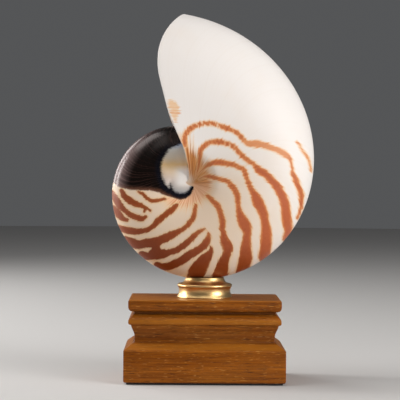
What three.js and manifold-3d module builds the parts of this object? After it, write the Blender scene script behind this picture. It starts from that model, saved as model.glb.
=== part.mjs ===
// A chambered nautilus shell standing in a turned brass collar on a moulded hardwood base.
// Millimetres, +Z up. The origin is the centre of the base's underside, and the shell coils in the XZ plane.
import * as THREE from "three";
import Module from "manifold-3d";

const wasm = await Module();
wasm.setup();

const DEGREE = Math.PI / 180;
const TURN = 2 * Math.PI;

// Shell: a logarithmic spiral about the Y axis through the coil centre.
const COIL_X = -12.1;
const COIL_Z = 120.4;
const WHORL_EXPANSION = 3.04; // how much the radius grows in one turn
const TIP_ANGLE = 90.7 * DEGREE; // where the last whorl ends on its outer rim
const TIP_RADIUS = 101.8;
const HALF_WIDTH = 0.375; // widest half breadth, as a share of the outer radius
const WIDEST_AT = 0.42; // share of the radius where the whorl is widest
const HUB_HALF_WIDTH = 0.3; // half breadth beside the hub, as a share of the outer radius
const RIM_FULLNESS = 0.86; // under 1 makes the rim rounder than an ellipse
const HUB_HEIGHT = 17; // half breadth where every whorl meets on the coil axis
const HUB_RADIUS = 20; // within this distance of the axis the whorls blend together
const WALL = 1.5;
const CALLUS = 4; // how much thicker the wall is where it meets the hub
const CALLUS_RADIUS = 17;

// Mouth: an edge that runs out from beside the coil axis, set back in a notch on the outer rim.
const MOUTH_ANGLE = 104.5 * DEGREE;
const MOUTH_OFFSET = 4;
const MOUTH_OFFSET_FROM = 15.3; // the offset fades between these two distances from the axis
const MOUTH_OFFSET_TO = 45.8;
const RIM_NOTCH = 13.4 * DEGREE;
const RIM_NOTCH_FROM = 0.58;
const RIM_NOTCH_POWER = 1.9;

// The shell's surface steps round the spiral; the open chamber runs back from the mouth.
const TURN_STEPS = 72;
const SIDE_STEPS = 13;
const CHAMBER_STEPS = 25;
const OVERRUN_STEPS = 2;
const INNER_WHORL_MARGIN = 0.03; // keeps the chamber's cut just off the whorl that it runs over

// Base: two moulded boards with a felt pad under them.
const BASE_WIDTH = 96.5;
const BASE_DEPTH = 60;
const FELT_THICKNESS = 1;
const FELT_INSET = 1.6;
const PLINTH_TOP = 41.8;
const BASE_TOP = 50;

// Collar and its fixing screw.
const COLLAR_TOP = 62.2;
const COLLAR_SEGMENTS = 44;
const SEAT_GAP = 0.35;
const SCREW_RADIUS = 2.5;
const SCREW_CLEARANCE = 0.35;
const SCREW_HEAD_RADIUS = 5;
const SCREW_HEAD_HEIGHT = 3.2;
const SCREW_RECESS = 9;
const SCREW_TIP = 57;
const SCREW_SEGMENTS = 24;
const SLOT_WIDTH = 1.2;
const SLOT_DEPTH = 1.4;

const growth = Math.log(WHORL_EXPANSION) / TURN;
const clamp01 = (x) => Math.min(1, Math.max(0, x));
const smooth = (x) => clamp01(x) ** 2 * (3 - 2 * clamp01(x));
const mix = (a, b, share) => a + (b - a) * share;

function outerRadius(angle) {
  return TIP_RADIUS * Math.exp(growth * (angle - TIP_ANGLE));
}

// One side of a whorl's section, from the rim (step 0) to the coil axis (step 1).
function sectionPoint(step, angle) {
  const radius = outerRadius(angle);
  const rimShare = 0.66; // the part of the steps that lies between the rim and the widest place
  let share;
  let breadth;
  if (step < rimShare) {
    const turn = (step / rimShare) * (Math.PI / 2);
    share = WIDEST_AT + (1 - WIDEST_AT) * Math.cos(turn);
    breadth = HALF_WIDTH * Math.sin(turn) ** RIM_FULLNESS;
  } else {
    share = WIDEST_AT * ((1 - step) / (1 - rimShare)) ** 1.6; // closer steps towards the hub
    breadth = mix(HALF_WIDTH, HUB_HALF_WIDTH, (1 - share / WIDEST_AT) ** 2);
  }
  const out = share * radius;
  return { share, out, side: mix(HUB_HEIGHT, breadth * radius, smooth(out / HUB_RADIUS)) };
}

// The same section moved inwards, at right angles to itself, by a wall's thickness.
function insetPoint(step, angle, inset) {
  const nudge = 1e-3;
  const here = sectionPoint(step, angle);
  const before = sectionPoint(Math.max(0, step - nudge), angle);
  const after = sectionPoint(Math.min(1, step + nudge), angle);
  const along = new THREE.Vector2(after.out - before.out, after.side - before.side).normalize();
  const facing = step === 0 ? new THREE.Vector2(1, 0) : new THREE.Vector2(along.y, -along.x);
  const callus = inset > 0 ? CALLUS * (1 - smooth(here.out / CALLUS_RADIUS)) : 0;
  const out = step === 1 ? 0 : Math.max(0.05, here.out - inset * facing.x);
  const side = step === 1 ? here.side - inset : here.side - inset * facing.y;
  return { out, side: step === 0 ? 0 : Math.max(0, side - callus) };
}

// The angle at which the whorl ends, for a place on the section.
function mouthAngle(step) {
  const near = sectionPoint(step, MOUTH_ANGLE);
  const fade = smooth((near.out - MOUTH_OFFSET_FROM) / (MOUTH_OFFSET_TO - MOUTH_OFFSET_FROM));
  const tilt = Math.atan2(MOUTH_OFFSET * (1 - fade), near.out);
  const notch = RIM_NOTCH * clamp01((near.share - RIM_NOTCH_FROM) / (1 - RIM_NOTCH_FROM)) ** RIM_NOTCH_POWER;
  return MOUTH_ANGLE - tilt - notch;
}

// Rows run from the near hub over the rim to the far hub, so the first and the last are single points.
const rows = [];
for (let row = -SIDE_STEPS; row <= SIDE_STEPS; row++) {
  rows.push({ step: 1 - (SIDE_STEPS - Math.abs(row)) / SIDE_STEPS, hand: Math.sign(row) });
}

// A whorl's surface as rows of points. `from` and `to` count steps past the mouth.
function whorlPoints({ from, to, inset = 0, turnsBack = 0 }) {
  return rows.map(({ step, hand }) => {
    const end = mouthAngle(step) - turnsBack * TURN;
    const line = [];
    for (let column = from; column <= to; column++) {
      const angle = end + (column / TURN_STEPS) * TURN;
      const { out, side } = insetPoint(step, angle, inset);
      line.push(new THREE.Vector3(out * Math.cos(angle), hand * side, out * Math.sin(angle)));
    }
    return line;
  });
}

// A closed solid from such rows. Its two ends meet in a strip when it goes all the way round,
// and otherwise each end is a fan about the coil centre.
function whorlSolid(points, wholeTurn) {
  const last = points.length - 1;
  const columns = points[0].length;
  const vertices = [points[0][0], points[last][0], new THREE.Vector3()];
  const index = (row, column) => {
    if (row === 0) return 0;
    if (row === last) return 1;
    return 3 + (row - 1) * columns + column;
  };
  for (let row = 1; row < last; row++) vertices.push(...points[row]);
  const faces = [];
  const face = (a, b, c) => {
    if (a !== b && b !== c && c !== a) faces.push(a, c, b);
  };
  const quad = (a, b, c, d) => {
    face(a, b, c);
    face(a, c, d);
  };
  for (let row = 0; row < last; row++) {
    for (let column = 0; column < columns - 1; column++) {
      quad(index(row, column), index(row, column + 1), index(row + 1, column + 1), index(row + 1, column));
    }
    const end = columns - 1;
    if (wholeTurn) {
      quad(index(row, end), index(row, 0), index(row + 1, 0), index(row + 1, end));
    } else {
      face(2, index(row, 0), index(row + 1, 0));
      face(2, index(row + 1, end), index(row, end));
    }
  }
  return solidFrom(vertices, faces);
}

function solidFrom(vertices, faces) {
  return new wasm.Manifold(
    new wasm.Mesh({
      numProp: 3,
      vertProperties: new Float32Array(vertices.flatMap((v) => [v.x, v.y, v.z])),
      triVerts: new Uint32Array(faces),
    }),
  );
}

function geometryFrom(solid) {
  const mesh = solid.getMesh();
  const geometry = new THREE.BufferGeometry();
  geometry.setAttribute("position", new THREE.BufferAttribute(mesh.vertProperties, 3));
  geometry.setIndex(new THREE.BufferAttribute(mesh.triVerts, 1));
  geometry.computeVertexNormals();
  return geometry;
}

// A three.js geometry as a solid, with the vertices that its faces share merged.
function solidOf(geometry) {
  const position = geometry.getAttribute("position");
  const known = new Map();
  const vertices = [];
  const merged = [];
  for (let i = 0; i < position.count; i++) {
    const vertex = new THREE.Vector3().fromBufferAttribute(position, i);
    const key = vertex.toArray().map((x) => Math.round(x * 1e4)).join();
    if (!known.has(key)) {
      known.set(key, vertices.length);
      vertices.push(vertex);
    }
    merged.push(known.get(key));
  }
  const order = geometry.index ? Array.from(geometry.index.array) : merged.map((_, i) => i);
  const faces = [];
  for (let i = 0; i < order.length; i += 3) {
    const [a, b, c] = [merged[order[i]], merged[order[i + 1]], merged[order[i + 2]]];
    if (a !== b && b !== c && c !== a) faces.push(a, b, c);
  }
  return solidFrom(vertices, faces);
}

// Shell: the last whorl, hollowed by the open chamber but not by the whorl before it.
function shellGeometry() {
  const outside = whorlSolid(whorlPoints({ from: -TURN_STEPS, to: 0 }), true);
  const chamber = whorlSolid(
    whorlPoints({ from: -CHAMBER_STEPS, to: OVERRUN_STEPS, inset: WALL }),
    false,
  );
  const innerWhorl = whorlSolid(
    whorlPoints({
      from: -CHAMBER_STEPS - OVERRUN_STEPS,
      to: 2 * OVERRUN_STEPS,
      inset: -INNER_WHORL_MARGIN,
      turnsBack: 1,
    }),
    false,
  );
  return geometryFrom(outside.subtract(chamber.subtract(innerWhorl)));
}

// A board with one moulding profile, given as [inset, height] pairs, mitred round its four sides.
function mouldedBoard(profile) {
  const corners = [
    [-1, -1],
    [1, -1],
    [1, 1],
    [-1, 1],
  ];
  const vertices = profile.flatMap(([inset, height]) =>
    corners.map(
      ([x, y]) => new THREE.Vector3(x * (BASE_WIDTH / 2 - inset), y * (BASE_DEPTH / 2 - inset), height),
    ),
  );
  const faces = [];
  for (let level = 0; level < profile.length - 1; level++) {
    for (let corner = 0; corner < 4; corner++) {
      const here = level * 4 + corner;
      const next = level * 4 + ((corner + 1) % 4);
      faces.push(here, next, next + 4, here, next + 4, here + 4);
    }
  }
  const top = (profile.length - 1) * 4;
  faces.push(0, 2, 1, 0, 3, 2, top, top + 1, top + 2, top, top + 2, top + 3);
  return solidFrom(vertices, faces);
}

// Points along a quarter-round or cove, from one [inset, height] corner to another.
function quarterArc([fromInset, fromHeight], [toInset, toHeight], steps, hollow) {
  const points = [];
  for (let i = 0; i <= steps; i++) {
    const turn = (i / steps) * (Math.PI / 2);
    const [first, second] = [Math.sin(turn), 1 - Math.cos(turn)];
    const [across, up] = hollow ? [first, second] : [second, first];
    points.push([mix(fromInset, toInset, across), mix(fromHeight, toHeight, up)]);
  }
  return points;
}

// A round bar on the Z axis, used as a drill.
function drill(radius, from, to) {
  const bar = new THREE.CylinderGeometry(radius, radius, to - from, SCREW_SEGMENTS);
  bar.rotateX(Math.PI / 2).translate(0, 0, (from + to) / 2);
  return solidOf(bar);
}

function plinthGeometry() {
  const foot = FELT_THICKNESS;
  const profile = [
    [1.2, foot],
    [0, foot + 1.2],
    [0, 19.6],
    [0.9, 20.8],
    [4.6, 23.6],
    ...quarterArc([6.1, 24.4], [6.4, 29.5], 2, true),
    ...quarterArc([6.4, 29.5], [4.0, 34.2], 4, false),
    [3.9, 34.9],
    [2.9, 35.7],
    [2.7, 38.2],
    [3.6, 39.4],
    [6.2, PLINTH_TOP],
  ];
  const hole = drill(SCREW_RADIUS + SCREW_CLEARANCE, 0, PLINTH_TOP + 1);
  const recess = drill(SCREW_HEAD_RADIUS + SCREW_CLEARANCE, 0, foot + SCREW_RECESS);
  return geometryFrom(mouldedBoard(profile).subtract(hole).subtract(recess));
}

function capBoardGeometry() {
  const profile = [
    [6.2, PLINTH_TOP],
    [6.0, 42.6],
    ...quarterArc([4.6, 43.0], [2.6, 45.4], 3, true),
    [2.6, 48.9],
    [2.9, 49.7],
    [3.7, BASE_TOP],
  ];
  const hole = drill(SCREW_RADIUS + SCREW_CLEARANCE, PLINTH_TOP - 1, BASE_TOP + 1);
  return geometryFrom(mouldedBoard(profile).subtract(hole));
}

function feltGeometry() {
  const inset = FELT_INSET;
  const felt = new THREE.BoxGeometry(BASE_WIDTH - 2 * inset, BASE_DEPTH - 2 * inset, FELT_THICKNESS);
  return felt.translate(0, 0, FELT_THICKNESS / 2);
}

// Collar: a turned ring with a hollow waist and a beaded shoulder, dished to the shell's rim.
function collarGeometry() {
  const profile = [
    [0, BASE_TOP],
    [16.8, BASE_TOP],
    [16.8, 50.5],
    [16.0, 52.2],
    [15.7, 53.7],
    [15.7, 54.9],
    [16.1, 56.3],
    [16.7, 57.0],
    [16.7, 57.7],
    [16.2, 58.3],
    [14.3, 58.9],
    [12.9, 59.7],
    [12.0, 60.8],
    [11.7, COLLAR_TOP],
    [0, COLLAR_TOP],
  ].map(([radius, height]) => new THREE.Vector2(radius, height));
  const turned = new THREE.LatheGeometry(profile, COLLAR_SEGMENTS).rotateX(Math.PI / 2);
  const seat = whorlSolid(whorlPoints({ from: -TURN_STEPS, to: 0, inset: -SEAT_GAP }), true);
  const hole = drill(SCREW_RADIUS + SCREW_CLEARANCE, BASE_TOP - 1, SCREW_TIP + SCREW_CLEARANCE);
  return geometryFrom(solidOf(turned).subtract(seat.translate(COIL_X, 0, COIL_Z)).subtract(hole));
}

// Fixing screw: a countersunk screw that comes up through both boards into the collar.
function screwGeometry() {
  const headFace = FELT_THICKNESS + SCREW_RECESS - SCREW_HEAD_HEIGHT - 1;
  const headBack = headFace + SCREW_HEAD_HEIGHT;
  const profile = [
    [0, headFace],
    [SCREW_HEAD_RADIUS, headFace],
    [SCREW_HEAD_RADIUS, headFace + 0.6],
    [SCREW_RADIUS, headBack],
    [SCREW_RADIUS, SCREW_TIP - 1],
    [SCREW_RADIUS - 1, SCREW_TIP],
    [0, SCREW_TIP],
  ].map(([radius, height]) => new THREE.Vector2(radius, height));
  const turned = new THREE.LatheGeometry(profile, SCREW_SEGMENTS).rotateX(Math.PI / 2);
  const slot = new THREE.BoxGeometry(2.2 * SCREW_HEAD_RADIUS, SLOT_WIDTH, 2 * SLOT_DEPTH);
  slot.translate(0, 0, headFace);
  return geometryFrom(solidOf(turned).subtract(solidOf(slot)));
}

function part(name, geometry, material) {
  const mesh = new THREE.Mesh(geometry, new THREE.MeshStandardMaterial(material));
  mesh.name = name;
  return mesh;
}

const wood = { color: 0x80491c, roughness: 0.5, metalness: 0 };
const nautilus = new THREE.Group();
nautilus.name = "nautilus_on_stand";

const shell = part("shell", shellGeometry(), { color: 0xe6ddcf, roughness: 0.3, metalness: 0 });
shell.position.set(COIL_X, 0, COIL_Z);

const stand = new THREE.Group();
stand.name = "stand";
stand.add(
  part("collar", collarGeometry(), { color: 0xc9a25a, roughness: 0.25, metalness: 1 }),
  part("cap_board", capBoardGeometry(), wood),
  part("plinth", plinthGeometry(), wood),
  part("fixing_screw", screwGeometry(), { color: 0x9a9a98, roughness: 0.35, metalness: 1 }),
  part("felt_pad", feltGeometry(), { color: 0x1d1a17, roughness: 0.95, metalness: 0 }),
);
nautilus.add(shell, stand);

export default nautilus;
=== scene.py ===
# %% [markdown]
# # A nautilus shell on its stand
#
# The object is a whole chambered nautilus shell. It stands in a turned brass collar on a small moulded
# hardwood base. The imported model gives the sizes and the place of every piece, in metres. This lesson
# makes the fine surfaces: the shell from the rule of its own spiral, the collar on a lathe profile, and
# the base from two mouldings, each with a material that is drawn by nodes.

import math

import bmesh
import bpy
import numpy as np
from mathutils import Euler, Matrix, Vector


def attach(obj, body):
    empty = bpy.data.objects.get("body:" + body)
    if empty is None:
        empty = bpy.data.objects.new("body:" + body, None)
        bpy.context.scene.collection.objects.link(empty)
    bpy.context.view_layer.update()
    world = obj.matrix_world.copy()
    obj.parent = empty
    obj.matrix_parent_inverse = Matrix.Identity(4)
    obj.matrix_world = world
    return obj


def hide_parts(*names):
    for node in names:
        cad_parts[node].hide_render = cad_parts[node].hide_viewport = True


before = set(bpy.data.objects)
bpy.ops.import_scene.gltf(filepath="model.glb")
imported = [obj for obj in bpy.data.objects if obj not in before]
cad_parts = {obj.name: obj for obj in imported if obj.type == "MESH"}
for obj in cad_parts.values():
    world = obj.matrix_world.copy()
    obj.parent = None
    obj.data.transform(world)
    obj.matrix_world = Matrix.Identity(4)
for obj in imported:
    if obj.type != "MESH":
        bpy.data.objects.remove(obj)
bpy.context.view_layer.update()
print("nodes:", ", ".join(sorted(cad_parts)))

# %% [markdown]
# ## Writing node trees as sums
#
# Both the shell's shape and all the finishes are node trees. Linking Math nodes one by one hides the
# formula, so one small class wraps a socket and overloads the operators. After that, a node formula reads
# like ordinary Python. The same class serves geometry and shader trees, because both use the same Math
# node.


# %% The helper classes
def operator(operation, flipped=False):
    """A Python operator that adds a Math node."""

    def apply(value, other):
        order = (other, value) if flipped else (value, other)
        return value.net.math(operation, *order)

    return apply


class Value:
    """One output socket that can take part in sums."""

    __add__ = __radd__ = operator("ADD")
    __mul__ = __rmul__ = operator("MULTIPLY")
    __sub__ = operator("SUBTRACT")
    __rsub__ = operator("SUBTRACT", flipped=True)
    __truediv__ = operator("DIVIDE")
    __rtruediv__ = operator("DIVIDE", flipped=True)
    __pow__ = operator("POWER")
    __lt__ = operator("LESS_THAN")
    __gt__ = operator("GREATER_THAN")

    def __init__(self, net, socket):
        self.net = net
        self.socket = socket

    def math(self, operation, *others):
        return self.net.math(operation, self, *others)

    def step(self, low, high):
        """0 below low, 1 above high, and a smooth rise between them."""
        sockets = {"Value": self, "From Min": low, "From Max": high}
        return self.net.node("ShaderNodeMapRange", {"interpolation_type": "SMOOTHSTEP"}, sockets)


class Net:
    """A node tree that is written as expressions."""

    def __init__(self, tree):
        self.tree = tree

    def node(self, kind, settings=None, sockets=None, out=0):
        """Adds a node. Its settings come first, because they decide which sockets it has."""
        made = self.tree.nodes.new(kind)
        for name, value in (settings or {}).items():
            if name == "stops":
                self.set_stops(made.color_ramp, value)
            else:
                setattr(made, name, value)
        self.fill(made, sockets or {})
        return Value(self, self.find(made.outputs, out))

    def math(self, operation, *terms):
        return self.node("ShaderNodeMath", {"operation": operation}, dict(enumerate(terms)))

    def fill(self, node, sockets):
        for name, value in sockets.items():
            self.feed(self.find(node.inputs, name), value)

    @staticmethod
    def find(sockets, name):
        if isinstance(name, int):
            return sockets[name]
        return next(socket for socket in sockets if socket.name == name and socket.enabled)

    @staticmethod
    def set_stops(ramp, stops):
        while len(ramp.elements) < len(stops):
            ramp.elements.new(1.0)
        for element, (place, colour) in zip(ramp.elements, stops):
            element.position = place
            element.color = (*colour, 1.0)

    def feed(self, socket, value):
        if isinstance(value, Value):
            self.tree.links.new(value.socket, socket)
        else:
            socket.default_value = value

    def mix(self, factor, first, second):
        """A colour between two colours."""
        sockets = {"Factor": factor, "A": colour4(first), "B": colour4(second)}
        return self.node("ShaderNodeMix", {"data_type": "RGBA"}, sockets, "Result")

    def vector(self, x, y, z):
        return self.node("ShaderNodeCombineXYZ", None, {"X": x, "Y": y, "Z": z})

    def split(self, value):
        made = self.node("ShaderNodeSeparateXYZ", None, {0: value}).socket.node
        return [Value(self, socket) for socket in made.outputs]


def colour4(colour):
    return colour if isinstance(colour, Value) else (*colour, 1.0)


print("helpers ready")

# %% [markdown]
# ## The shell's rule
#
# A nautilus grows as a logarithmic spiral: each turn is the same shape as the last, a fixed number of
# times larger. So one section and one growth rate give the whole shell. A learner could model half a
# shell by hand and mirror it, but the rule is shorter and smoother, and it keeps the mouth, the inner
# whorl and the hub in step with each other. Geometry Nodes draws the rule on a grid: the grid's columns
# run round the spiral, and its rows run from the near hub, over the rim, to the far hub.

# %% Sizes of the shell
MM = 0.001
DEGREE = math.pi / 180
TURN = 2 * math.pi
QUARTER = math.pi / 2
COIL = Vector((-12.1, 0.0, 120.4)) * MM
EXPANSION = 3.04
GROWTH = math.log(EXPANSION) / TURN
TIP_ANGLE = 90.7 * DEGREE
TIP_RADIUS = 101.8 * MM
HALF_WIDTH = 0.375
WIDEST_AT = 0.42
HUB_HALF_WIDTH = 0.30
HUB_CURVE = 1.6
HUB_FLARE = 2.0
RIM_FULLNESS = 0.86
RIM_SHARE = 0.66
HUB_HEIGHT = 17 * MM
HUB_RADIUS = 20 * MM
WALL = 1.5 * MM
CALLUS = 1.2 * MM
CALLUS_RADIUS = 10 * MM
LIP_ROUND = 0.6 * MM
LIP_FADE = 6 * MM
LIP_NEAREST = 8 * MM
CHAMBER_ANGLE = 125 * DEGREE
CHAMBER_PAST_LIP = 8 * DEGREE
CHAMBER_BOWL = 13 * DEGREE
CHAMBER_SKIN = 0.03 * MM
OLDER_FURTHER_BACK = 25 * DEGREE
OLDER_PAST_LIP = 35 * DEGREE
END_MIDDLE = 0.52
COLUMNS = 340
ROWS = 177
WELD = 2e-6
SLIVER = 1e-6
MOUTH_ANGLE = 104.5 * DEGREE
MOUTH_OFFSET = 4 * MM
MOUTH_OFFSET_FROM = 15.3 * MM
MOUTH_OFFSET_TO = 45.8 * MM
RIM_NOTCH = 13.4 * DEGREE
RIM_NOTCH_FROM = 0.58
RIM_NOTCH_POWER = 1.9
print(f"one turn back from the tip the radius is {TIP_RADIUS / EXPANSION / MM:.1f} mm")


# %% The section of a whorl, as nodes
def whorl_radius(angle, tip_radius):
    return tip_radius * (GROWTH * (angle - TIP_ANGLE)).math("EXPONENT")


def section_share(step):
    """How far out a row lies, its breadth, and which way the section faces there."""
    on_rim = step < RIM_SHARE
    turn = (step * (QUARTER / RIM_SHARE)).math("MINIMUM", QUARTER)
    rim_share = WIDEST_AT + (1 - WIDEST_AT) * turn.math("COSINE")
    rim_breadth = HALF_WIDTH * turn.math("SINE") ** RIM_FULLNESS
    hub_share = WIDEST_AT * ((1 - step).math("MAXIMUM", 0.0) / (1 - RIM_SHARE)) ** HUB_CURVE
    hub_breadth = HALF_WIDTH + (HUB_HALF_WIDTH - HALF_WIDTH) * (1 - hub_share / WIDEST_AT) ** HUB_FLARE
    share = on_rim * rim_share + (1 - on_rim) * hub_share
    breadth = on_rim * rim_breadth + (1 - on_rim) * hub_breadth
    across = HALF_WIDTH * turn.math("COSINE")
    sideways = (1 - WIDEST_AT) * turn.math("SINE")
    length = (across * across + sideways * sideways).math("SQRT")
    return share, breadth, across / length, sideways / length


def mouth_angle(share, size):
    """The angle at which the shell ends, for a place on a section of a given size at the mouth."""
    out = share * size * (TIP_RADIUS * math.exp(GROWTH * (MOUTH_ANGLE - TIP_ANGLE)))
    offset = MOUTH_OFFSET * (1 - out.step(MOUTH_OFFSET_FROM, MOUTH_OFFSET_TO))
    notch = ((share - RIM_NOTCH_FROM) / (1 - RIM_NOTCH_FROM)).math("MAXIMUM", 0.0)
    return MOUTH_ANGLE - offset.math("ARCTAN2", out) - RIM_NOTCH * notch**RIM_NOTCH_POWER, out


# %% [markdown]
# ## The open chamber and the lip
#
# The mouth opens into the body chamber, which runs a third of a turn back to a bowl-shaped wall. The
# chamber is drawn by the same rule, set in by the wall's thickness. Taking the inner whorl away from it,
# and then taking what is left away from the outer solid, hollows the shell in the right place. The last
# few columns at the mouth step round a quarter circle, so that the lip has a rounded edge and not a sawn
# one.

# %% The whorl's surface as a node group
LIP_STEPS = 6
END_STEPS = 8


def open_tree(name, numbers, materials=()):
    """An empty geometry tree and its inputs, each ready to take part in sums."""
    tree = bpy.data.node_groups.new(name, "GeometryNodeTree")
    for kind, labels in (("Float", numbers), ("Int", ("Columns", "Rows")), ("Material", materials)):
        for label in labels:
            tree.interface.new_socket(label, in_out="INPUT", socket_type=f"NodeSocket{kind}")
    tree.interface.new_socket("Mesh", in_out="OUTPUT", socket_type="NodeSocketGeometry")
    net = Net(tree)
    entry = tree.nodes.new("NodeGroupInput")
    return net, {socket.name: Value(net, socket) for socket in entry.outputs if socket.name}


def close_tree(net, mesh):
    leave = net.tree.nodes.new("NodeGroupOutput")
    net.feed(leave.inputs["Mesh"], mesh)
    return net.tree


WHORL_NUMBERS = ("Tip radius", "From", "To", "Inset", "Callus", "Lip round", "Bowl", "Turns back", "Lining")


def whorl_group(name, hollow):
    """A closed whorl. A hollow one has rounded ends; the other one joins its end to its start."""
    net, given = open_tree(name, WHORL_NUMBERS)
    columns = given["Columns"]
    start = given["From"]
    stop = given["To"]
    ends = 2 * END_STEPS if hollow else 1
    sockets = {"Vertices X": columns + (LIP_STEPS + ends + 1), "Vertices Y": given["Rows"]}
    grid = net.node("GeometryNodeMeshGrid", None, {"Size X": 1.0, "Size Y": 1.0, **sockets})
    across, up, _ = net.split(net.node("GeometryNodeInputPosition"))
    count = ((across + 0.5) * (columns + (LIP_STEPS + ends))).math("ROUND")
    row = up * 2.0
    if hollow:
        # The outermost rows lie on the coil axis, so the section is a closed loop.
        row = row * (1 + 2 / (given["Rows"] - 3))
    hand = row.math("SIGN")
    step = row.math("ABSOLUTE")
    on_axis = step > 1.0001
    share, breadth, face_out, face_side = section_share(step.math("MINIMUM", 1.0))
    if hollow:
        bowl = ((END_STEPS - count) / END_STEPS).math("MAXIMUM", 0.0)
        column = (count - END_STEPS).math("MAXIMUM", 0.0)
        column = column.math("MINIMUM", columns + LIP_STEPS)
        cap = ((count - (columns + (LIP_STEPS + END_STEPS))) / END_STEPS).math("MAXIMUM", 0.0)
    else:
        column = count * (count < (columns + (LIP_STEPS + 0.5)))
    bend = ((column - columns) / LIP_STEPS).math("MAXIMUM", 0.0) * QUARTER
    along = (column / columns).math("MINIMUM", 1.0)
    # The start lies straight behind the lip, so its place depends on its own size and not on the mouth's.
    size = 1.0 if hollow else (GROWTH * TURN * (along - 1)).math("EXPONENT")
    mouth, mouth_out = mouth_angle(share, size)
    lip = given["Lip round"] / mouth_out.math("MAXIMUM", LIP_NEAREST)
    rounded = given["Lip round"] * (1 - bend.math("COSINE"))
    past = start + along * (stop - lip - start) + lip * bend.math("SINE")
    if hollow:
        past = past - given["Bowl"] * (bowl * QUARTER).math("SINE")
        inset = given["Inset"]
    else:
        inset = given["Inset"] + rounded * mouth_out.step(0.0, LIP_FADE)
    angle = mouth + past - given["Turns back"] * TURN
    radius = whorl_radius(angle, given["Tip radius"])
    out = share * radius
    blend = out.step(0.0, HUB_RADIUS)
    side = HUB_HEIGHT + blend * (breadth * radius - HUB_HEIGHT)
    side = side - inset * face_side - given["Callus"] * (1 - out.step(0.0, CALLUS_RADIUS))
    side = side.math("MAXIMUM", 0.0) * (1 - on_axis) * hand
    out = (out - inset * face_out).math("MAXIMUM", 0.0)
    place = [out * angle.math("COSINE"), side, out * angle.math("SINE")]
    if hollow:
        # Each end closes on one point in the middle of the section there.
        closing = (bowl * QUARTER).math("COSINE") * (1 - cap)
        end = stop + (bowl > 0) * (start - stop - given["Bowl"])
        end_angle = MOUTH_ANGLE + end - given["Turns back"] * TURN
        middle = END_MIDDLE * whorl_radius(end_angle, given["Tip radius"])
        focus = [middle * end_angle.math("COSINE"), 0.0, middle * end_angle.math("SINE")]
        place = [spot + closing * (value - spot) for value, spot in zip(place, focus)]
    shaped = grid
    numbers = {"age": (angle - mouth) / TURN, "share": share, "lining": given["Lining"]}
    for label, value in numbers.items():
        sockets = {"Geometry": shaped, "Name": label, "Value": value}
        shaped = net.node("GeometryNodeStoreNamedAttribute", {"data_type": "FLOAT"}, sockets)
    sockets = {"Geometry": shaped, "Position": net.vector(*place)}
    shaped = net.node("GeometryNodeSetPosition", None, sockets)
    closed = net.node("GeometryNodeMergeByDistance", None, {"Geometry": shaped, "Distance": WELD})
    return close_tree(net, net.node("GeometryNodeFlipFaces", None, {"Mesh": closed}))


# %% The shell's own tree
def shell_tree(outside, inside):
    numbers = ("Tip radius", "Wall", "Lip round", "Chamber angle")
    net, given = open_tree("nautilus_shell", numbers, ("Finish",))

    def whorl(group, sockets):
        common = {"Tip radius": given["Tip radius"], "Rows": given["Rows"]}
        return net.node("GeometryNodeGroup", {"node_tree": group}, {**common, **sockets})

    def cut(first, second):
        settings = {"operation": "DIFFERENCE", "solver": "MANIFOLD"}
        return net.node("GeometryNodeMeshBoolean", settings, {"Mesh 1": first, "Mesh 2": second})

    back = -1.0 * given["Chamber angle"]
    columns = given["Columns"]
    outer = {"Columns": columns, "From": -TURN, "To": 0.0, "Lip round": given["Lip round"]}
    room = {"Columns": columns * 0.3, "From": back, "To": CHAMBER_PAST_LIP, "Inset": given["Wall"]}
    room |= {"Callus": CALLUS, "Bowl": CHAMBER_BOWL, "Lining": 1.0}
    older = {"Columns": columns * 0.4, "From": back - OLDER_FURTHER_BACK, "To": OLDER_PAST_LIP}
    older |= {"Inset": -CHAMBER_SKIN, "Turns back": 1.0}
    chamber = cut(whorl(inside, room), whorl(inside, older))
    hollowed = cut(whorl(outside, outer), chamber)
    moved = net.node("GeometryNodeTransform", None, {"Geometry": hollowed, "Translation": COIL})
    solid = net.node("GeometryNodeRealizeInstances", None, {"Geometry": moved})
    sockets = {"Geometry": solid, "Material": given["Finish"]}
    return close_tree(net, net.node("GeometryNodeSetMaterial", None, sockets))


def apply_modifiers(piece):
    graph = bpy.context.evaluated_depsgraph_get()
    mesh = bpy.data.meshes.new_from_object(piece.evaluated_get(graph))
    piece.modifiers.clear()
    piece.data = mesh
    mesh.name = piece.name


def new_object(name, data):
    made = bpy.data.objects.new(name, data)
    bpy.context.scene.collection.objects.link(made)
    return made


def grown(name, tree, sizes):
    """Runs a tree on an empty object and keeps the result as a plain mesh."""
    piece = new_object(name, bpy.data.meshes.new(name))
    modifier = piece.modifiers.new("grow", "NODES")
    modifier.node_group = tree
    for item in tree.interface.items_tree:
        if item.in_out == "INPUT" and item.name in sizes:
            modifier[item.identifier] = sizes[item.name]
    apply_modifiers(piece)
    return piece


# %% Grow the shell
shell_finish = bpy.data.materials.new("shell_cream_and_brown")
WHOLE = {"Tip radius": TIP_RADIUS, "Columns": COLUMNS, "Rows": ROWS}
shell_sizes = {"Wall": WALL, "Lip round": LIP_ROUND, "Chamber angle": CHAMBER_ANGLE, "Finish": shell_finish}
whorls = shell_tree(whorl_group("whorl_outside", False), whorl_group("whorl_inside", True))
shell = grown("nautilus_shell", whorls, {**WHOLE, **shell_sizes})


def keep_largest_body(piece):
    """Drops the small sealed bubbles and the slivers that a cut can leave."""
    work = bmesh.new()
    work.from_mesh(piece.data)
    left = set(work.verts)
    bodies = []
    while left:
        body = [left.pop()]
        for vertex in body:
            for edge in vertex.link_edges:
                other = edge.other_vert(vertex)
                if other in left:
                    left.discard(other)
                    body.append(other)
        bodies.append(body)
    for body in sorted(bodies, key=len)[:-1]:
        bmesh.ops.delete(work, geom=body, context="VERTS")
    bmesh.ops.dissolve_degenerate(work, edges=work.edges, dist=SLIVER)
    work.to_mesh(piece.data)
    work.free()
    return len(bodies)


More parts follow.
